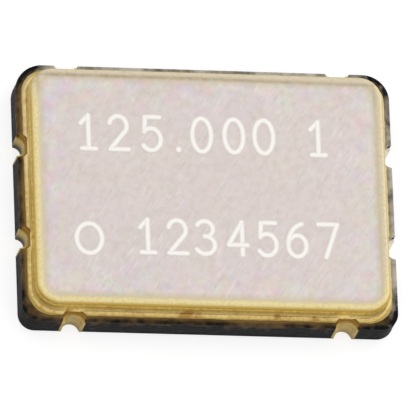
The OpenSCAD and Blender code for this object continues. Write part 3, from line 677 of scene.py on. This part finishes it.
speck = add(tree, "TexNoise", {"Scale": 1/(0.06*MM), "Detail": 2.0}, {"Vector": place})
base = add(tree, "Mix", {"data_type": "RGBA", 6: linear("#d8cfc5"), 7: linear("#d6cacd")},
           {0: tint.outputs["Fac"]})
cloud_share = add(tree, "MapRange", {"From Min": 0.38, "From Max": 0.68, "To Max": 0.5},
                  {"Value": cloud.outputs["Fac"]})
clouded = add(tree, "Mix", {"data_type": "RGBA", 7: linear("#c9bfbb")},
              {0: cloud_share.outputs["Result"], 6: base.outputs[2]})
handled = add(tree, "TexNoise", {"Scale": 1/(0.7*MM), "Detail": 1.0}, {"Vector": place})
gathered = add(tree, "Math", {"operation": "MULTIPLY_ADD", 1: 0.3},
               {0: handled.outputs["Fac"], 2: scratch.outputs["Fac"]})
line_share = add(tree, "MapRange", {"From Min": 0.73, "From Max": 0.90, "To Max": 0.5},
                 {"Value": gathered.outputs["Value"]})
lined = add(tree, "Mix", {"data_type": "RGBA", 7: linear("#e6dfdb")},
            {0: line_share.outputs["Result"], 6: clouded.outputs[2]})
furrow_share = add(tree, "MapRange", {"From Min": 0.42, "From Max": 0.27, "To Max": 0.4},
                   {"Value": scratch.outputs["Fac"]})
furrowed = add(tree, "Mix", {"data_type": "RGBA", 7: linear("#bfb5b1")},
               {0: furrow_share.outputs["Result"], 6: lined.outputs[2]})
edge_colour = add(tree, "Attribute", {"attribute_name": "edge_colour"})
oxide_share = add(tree, "MapRange", {"To Min": 0.08, "To Max": 0.58},
                  {"Value": edge_colour.outputs["Fac"]})
oxidised = add(tree, "Mix", {"data_type": "RGBA", "blend_type": "SOFT_LIGHT"},
               {0: oxide_share.outputs["Result"], 6: furrowed.outputs[2], 7: oxide.outputs["Color"]})
rim = add(tree, "Attribute", {"attribute_name": "rim"})
ragged = add(tree, "Math", {"operation": "MULTIPLY_ADD", 1: 0.4},
             {0: cloud.outputs["Fac"], 2: rim.outputs["Fac"]})
straw_share = add(tree, "MapRange", {"From Min": 0.2, "From Max": 0.85, "To Max": 0.85},
                  {"Value": ragged.outputs["Value"]})
straw = add(tree, "Mix", {"data_type": "RGBA", 7: linear("#c9bc9c")},
            {0: straw_share.outputs["Result"], 6: oxidised.outputs[2]})
gold_share = add(tree, "MapRange", {"From Min": 0.80, "From Max": 1.10},
                 {"Value": ragged.outputs["Value"]})
# Painted light: paler, greyer rim gold at the back and the right, where the back-right lamp falls
lamp_lit_rim = add(tree, "Attribute", {"attribute_name": "lamp_lit_rim"})
crest_gold = add(tree, "Mix", {"data_type": "RGBA", 6: linear("#e3d5a2"), 7: linear("#d6cbb6")},
                 {0: lamp_lit_rim.outputs["Fac"]})
crest_spot = add(tree, "MapRange", {"From Min": 0.45, "From Max": 0.75, "To Max": 0.55},
                 {"Value": speck.outputs["Fac"]})
spotted = add(tree, "Mix", {"data_type": "RGBA", 7: linear("#c9b272")},
              {0: crest_spot.outputs["Result"], 6: crest_gold.outputs[2]})
# Painted shade: darker gold where the rim faces sideways, below the crest's paler gold
shaded_side_gold = add(tree, "Mix", {"data_type": "RGBA", 6: linear("#c6a857"), 7: linear("#cbbf98")},
                {0: lamp_lit_rim.outputs["Fac"]})
side_shade = add(tree, "Attribute", {"attribute_name": "side_shade"})
melted = add(tree, "Mix", {"data_type": "RGBA"},
             {0: side_shade.outputs["Fac"], 6: spotted.outputs[2], 7: shaded_side_gold.outputs[2]})
gilded = add(tree, "Mix", {"data_type": "RGBA"},
             {0: gold_share.outputs["Result"], 6: straw.outputs[2], 7: melted.outputs[2]})
# Painted shadow: darker colour in the rim's hollow at the back, thinning to the right
hollow_shadow = add(tree, "Attribute", {"attribute_name": "hollow_shadow"})
hollow_shadow_share = add(tree, "Math", {"operation": "MULTIPLY"},
                    {0: hollow_shadow.outputs["Fac"], 1: cloud.outputs["Fac"]})
hollow_shadowed = add(tree, "Mix", {"data_type": "RGBA", 7: linear("#93846e")},
             {0: hollow_shadow_share.outputs["Value"], 6: gilded.outputs[2]})
tree.links.new(hollow_shadowed.outputs[2], shader.inputs["Base Color"])
shader.inputs["Metallic"].default_value = 1.0
shine = add(tree, "MapRange", {"To Min": 0.36, "To Max": 0.52}, {"Value": cloud.outputs["Fac"]})
rougher = add(tree, "Math", {"operation": "MULTIPLY_ADD", 1: 0.14},
              {0: rim.outputs["Fac"], 2: shine.outputs["Result"]})
tree.links.new(rougher.outputs["Value"], shader.inputs["Roughness"])
height = add(tree, "Math", {"operation": "ADD"}, {0: scratch.outputs["Fac"], 1: speck.outputs["Fac"]})
relief = add(tree, "Bump", {"Strength": 0.5, "Distance": 0.002*MM},
             {"Height": height.outputs["Value"]})
tree.links.new(relief.outputs["Normal"], shader.inputs["Normal"])
lid.data.materials.append(material)
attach(lid, "root")
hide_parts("lid")


# Marking
# Two lines of plain numbers, written by a laser that frosts the nickel. Each stroke is a low white ridge with a
# soft border.
STROKE_W, STROKE_H, STROKE_SINK = 0.13, 0.003, 0.0006
STROKE_STEP, STROKE_ACROSS, STROKE_END = 0.02, 11, 6
FIGURE_W = 0.35
# Text, figure height, the figures' middles and the base line of each line of the marking
LINES = (
    ("125.0001", 0.65, (-2.25, -1.68, -1.06, -0.57, -0.13, 0.47, 1.03, 2.04), 0.73),
    ("o1234567", 0.64, (-2.29, -1.21, -0.65, -0.12, 0.47, 1.03, 1.58, 2.16), -1.27),
)


def arc(cx, cy, rx, ry, first, last):
    """Points of an ellipse's arc between two angles in degrees, in shares of a figure's width and height."""
    turn = np.radians(np.linspace(first, last, 40))
    return np.column_stack([cx + rx*np.cos(turn), cy + ry*np.sin(turn)])


FIGURES = {
    "0": [arc(0.5, 0.5, 0.5, 0.5, 0, 360)],
    "1": [[(0.12, 0.76), (0.52, 1.0)], [(0.52, 1.0), (0.52, 0.0)], [(0.15, 0.0), (0.89, 0.0)]],
    "2": [np.vstack([arc(0.48, 0.71, 0.46, 0.29, 165, -32), [(0.03, 0.0)]]), [(0.03, 0.0), (1.0, 0.0)]],
    "3": [arc(0.44, 0.76, 0.44, 0.24, 150, -90), arc(0.44, 0.27, 0.52, 0.27, 90, -150)],
    "4": [[(0.74, 0.0), (0.74, 1.0)], [(0.74, 1.0), (0.0, 0.30)], [(0.0, 0.30), (1.0, 0.30)]],
    "5": [[(0.92, 1.0), (0.16, 1.0)], [(0.16, 1.0), (0.10, 0.55)], arc(0.45, 0.33, 0.51, 0.33, 128, -145)],
    "6": [arc(0.5, 0.32, 0.48, 0.32, 0, 360), arc(0.92, 0.34, 0.90, 0.66, 100, 180)],
    "7": [[(0.0, 1.0), (1.0, 1.0)], [(1.0, 1.0), (0.36, 0.0)]],
    ".": [arc(0.5, 0.04, 0.03, 0.03, 0, 360)],
    "o": [arc(0.5, 0.38, 0.67, 0.45, 0, 360)],
}


def ridge(points, high):
    """Grid of a stroke of the given height along a line of points, and how far each point lies from its middle
    as a share of half its width. Points across rise by the height times the root of one less that share
    squared, and past each end the width shrinks in the same way, which rounds the end."""
    points = np.asarray(points, float)
    run = np.concatenate([[0], np.cumsum(np.linalg.norm(np.diff(points, axis=0), axis=1))])
    closed = np.allclose(points[0], points[-1])
    count = max(8, int(run[-1]/STROKE_STEP))
    at = np.linspace(0, run[-1], count)
    half = STROKE_W/2
    line = np.column_stack([np.interp(at, run, points[:, 0]), np.interp(at, run, points[:, 1])])
    way = np.gradient(line, axis=0)
    if closed:
        way[0] = way[-1] = way[0] + way[-1]
    way /= np.linalg.norm(way, axis=1)[:, None]
    width = np.full(count, half)
    beyond = np.zeros(count)
    if not closed:
        past = np.sin(np.radians(np.linspace(90, 0, STROKE_END + 1)[:-1]))
        beyond = np.concatenate([past, beyond, past[::-1]])
        line = np.vstack([line[0] - half*past[:, None]*way[0], line, line[-1] + half*past[::-1, None]*way[-1]])
        narrowed = half*np.sqrt(1.0001 - past**2)
        width = np.concatenate([narrowed, width, narrowed[::-1]])
        way = np.vstack([np.repeat(way[:1], STROKE_END, 0), way, np.repeat(way[-1:], STROKE_END, 0)])
    across = np.linspace(-1, 1, STROKE_ACROSS)
    side = np.column_stack([way[:, 1], -way[:, 0]])
    flat = line[:, None] + side[:, None]*(across[None, :, None]*width[:, None, None])
    apart = np.sqrt(beyond[:, None]**2 + (across[None]*(width/half)[:, None])**2).clip(0, 1)
    rise = high*np.sqrt(1 - apart**2)
    return np.concatenate([flat, rise[..., None]], -1), apart


def write(text, height, centres, base):
    """Strokes of a line of figures: each figure stands on the base line with its middle at its own centre. A
    later stroke of a figure froths higher where it crosses an earlier one."""
    grids = []
    for figure, centre in zip(text, centres):
        for k, stroke in enumerate(FIGURES[figure]):
            spots = np.asarray(stroke, float)*[FIGURE_W, height] + [centre - FIGURE_W/2, base]
            grids.append(ridge(spots, STROKE_H*(1 + 0.2*k)))
    return grids


spots, faces, shares = [], [], []
count = 0
for grid, apart in (stroke for line in LINES for stroke in write(*line)):
    corner = count + np.arange(apart.size).reshape(apart.shape)
    quad = np.stack([corner[:-1, :-1], corner[:-1, 1:], corner[1:, 1:], corner[1:, :-1]], -1)
    faces.append(quad.reshape(-1, 4))
    spots.append(grid.reshape(-1, 3))
    shares.append(apart.ravel())
    count += apart.size
spots = np.concatenate(spots)
spots[:, 2] += FLAT_Z - sheet_sag(spots) - STROKE_SINK
mesh = bpy.data.meshes.new("laser_marking")
mesh.from_pydata(spots*MM, [], np.concatenate(faces).tolist())
mesh.polygons.foreach_set("use_smooth", np.ones(len(mesh.polygons), bool))
marking = bpy.data.objects.new("laser_marking", mesh)
bpy.context.collection.objects.link(marking)
keep_attribute(marking, "across", np.concatenate(shares))

# Laser-frosted nickel: melted and blown into fine white froth, matt, fading into the bare plate at its border.
material, tree, shader, place = new_material("laser_frosted_nickel")
froth = add(tree, "TexNoise", {"Scale": 1/(0.05*MM), "Detail": 3.0}, {"Vector": place})
across = add(tree, "Attribute", {"attribute_name": "across"})
ragged = add(tree, "Math", {"operation": "MULTIPLY_ADD", 1: 0.35},
             {0: froth.outputs["Fac"], 2: across.outputs["Fac"]})
border = add(tree, "MapRange", {"From Min": 0.50, "From Max": 1.15}, {"Value": ragged.outputs["Value"]})
tone = add(tree, "Mix", {"data_type": "RGBA", 6: linear("#f6f3ef"), 7: linear("#d6cdc8")},
           {0: border.outputs["Result"]})
tree.links.new(tone.outputs[2], shader.inputs["Base Color"])
shader.inputs["Metallic"].default_value = 0.8
shader.inputs["Roughness"].default_value = 0.7
relief = add(tree, "Bump", {"Strength": 0.4, "Distance": 0.002*MM}, {"Height": froth.outputs["Fac"]})
tree.links.new(relief.outputs["Normal"], shader.inputs["Normal"])
marking.data.materials.append(material)
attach(marking, "root")


# Floor and light
# A plain matt floor. To the camera and in reflections it glows just enough to read as white where no shadow
# falls, and the object's shadow stays. One broad lamp stands behind and to the right, and the sky fills in.
FLOOR_HALF, LAMP_SIZE, LAMP_AWAY = 600.0, 160.0, 160.0
LAMP_WATTS = 0.05


def seen_plainly(tree):
    """Socket that is 1 for rays of the camera, of reflections and through glass, and 0 for light on things."""
    ray = add(tree, "LightPath")
    direct = add(tree, "Math", {"operation": "MAXIMUM"},
                 {0: ray.outputs["Is Camera Ray"], 1: ray.outputs["Is Glossy Ray"]})
    seen = add(tree, "Math", {"operation": "MAXIMUM"},
               {0: direct.outputs["Value"], 1: ray.outputs["Is Transmission Ray"]})
    return seen.outputs["Value"]


floor_corners = np.array([(-1, -1, 0), (1, -1, 0), (1, 1, 0), (-1, 1, 0)])*FLOOR_HALF*MM
floor_mesh = bpy.data.meshes.new("floor")
floor_mesh.from_pydata(floor_corners.tolist(), [], [(0, 1, 2, 3)])
floor = bpy.data.objects.new("floor", floor_mesh)
bpy.context.collection.objects.link(floor)
material = bpy.data.materials.new("pale_floor")
material.use_nodes = True
tree = material.node_tree
tree.nodes.clear()
matt = add(tree, "BsdfDiffuse", {"Color": linear("#b0b0b0")})
glow_level = add(tree, "Math", {"operation": "MULTIPLY", 1: 0.72}, {0: seen_plainly(tree)})
glow = add(tree, "Emission", {"Color": (1, 1, 1, 1)}, {"Strength": glow_level.outputs["Value"]})
both = add(tree, "AddShader", None, {0: matt.outputs["BSDF"], 1: glow.outputs["Emission"]})
add(tree, "OutputMaterial", None, {"Surface": both.outputs["Shader"]})
floor.data.materials.append(material)

world = bpy.data.worlds.new("studio_sky")
world.use_nodes = True
bpy.context.scene.world = world
tree = world.node_tree
sky = tree.nodes["Background"]
sky_level = add(tree, "MapRange", {"To Min": 0.78, "To Max": 1.0}, {"Value": seen_plainly(tree)})
tree.links.new(sky_level.outputs["Result"], sky.inputs["Strength"])
sky.inputs["Color"].default_value = (1, 1, 1, 1)

lamp_data = bpy.data.lights.new("back_right_lamp", "AREA")
lamp_data.shape = "DISK"
lamp_data.size = LAMP_SIZE*MM
lamp_data.energy = LAMP_WATTS
lamp = bpy.data.objects.new("back_right_lamp", lamp_data)
lamp_way = Vector((0.72, 0.50, 0.48)).normalized()
lamp_turn = lamp_way.to_track_quat("Z", "Y").to_matrix().to_4x4()
lamp.matrix_world = Matrix.Translation(lamp_way*(LAMP_AWAY*MM)) @ lamp_turn
lamp.visible_camera = False
bpy.context.collection.objects.link(lamp)


# Camera
# A long lens from the front left and well above, turned so that the long side runs almost level, as pictured.
# The point over the object's middle at the aimed height stands at the given place of the picture, in pixels.
AZIMUTH, ELEVATION, ROLL = math.radians(-27.10), math.radians(67.12), math.radians(26.89)
PX_PER_MM, DISTANCE, FRAME_PX, SENSOR = 54.44, 230.0, 408, 36.0
PICTURE_X, PICTURE_Y = 206.75, 196.80
AIM_Z = 0.60
toward = np.array([math.sin(AZIMUTH)*math.cos(ELEVATION), -math.cos(AZIMUTH)*math.cos(ELEVATION),
                   math.sin(ELEVATION)])
level_right = np.cross([0, 0, 1], toward)
level_right /= np.linalg.norm(level_right)
level_up = np.cross(toward, level_right)
right = math.cos(ROLL)*level_right + math.sin(ROLL)*level_up
up = -math.sin(ROLL)*level_right + math.cos(ROLL)*level_up
aim = np.array([0, 0, AIM_Z]) + (right*(FRAME_PX/2 - PICTURE_X) + up*(PICTURE_Y - FRAME_PX/2))/PX_PER_MM
spot = (aim + toward*DISTANCE)*MM
camera_data = bpy.data.cameras.new("camera")
camera_data.sensor_width = SENSOR
camera_data.lens = PX_PER_MM*DISTANCE/FRAME_PX*SENSOR
camera_data.clip_start = 0.01
camera_data.clip_end = 2.0
camera = bpy.data.objects.new("camera", camera_data)
camera.matrix_world = Matrix([
    [right[0], up[0], toward[0], spot[0]],
    [right[1], up[1], toward[1], spot[1]],
    [right[2], up[2], toward[2], spot[2]],
    [0, 0, 0, 1],
])
bpy.context.collection.objects.link(camera)
bpy.context.scene.camera = camera
bpy.context.scene.view_settings.view_transform = "Standard"
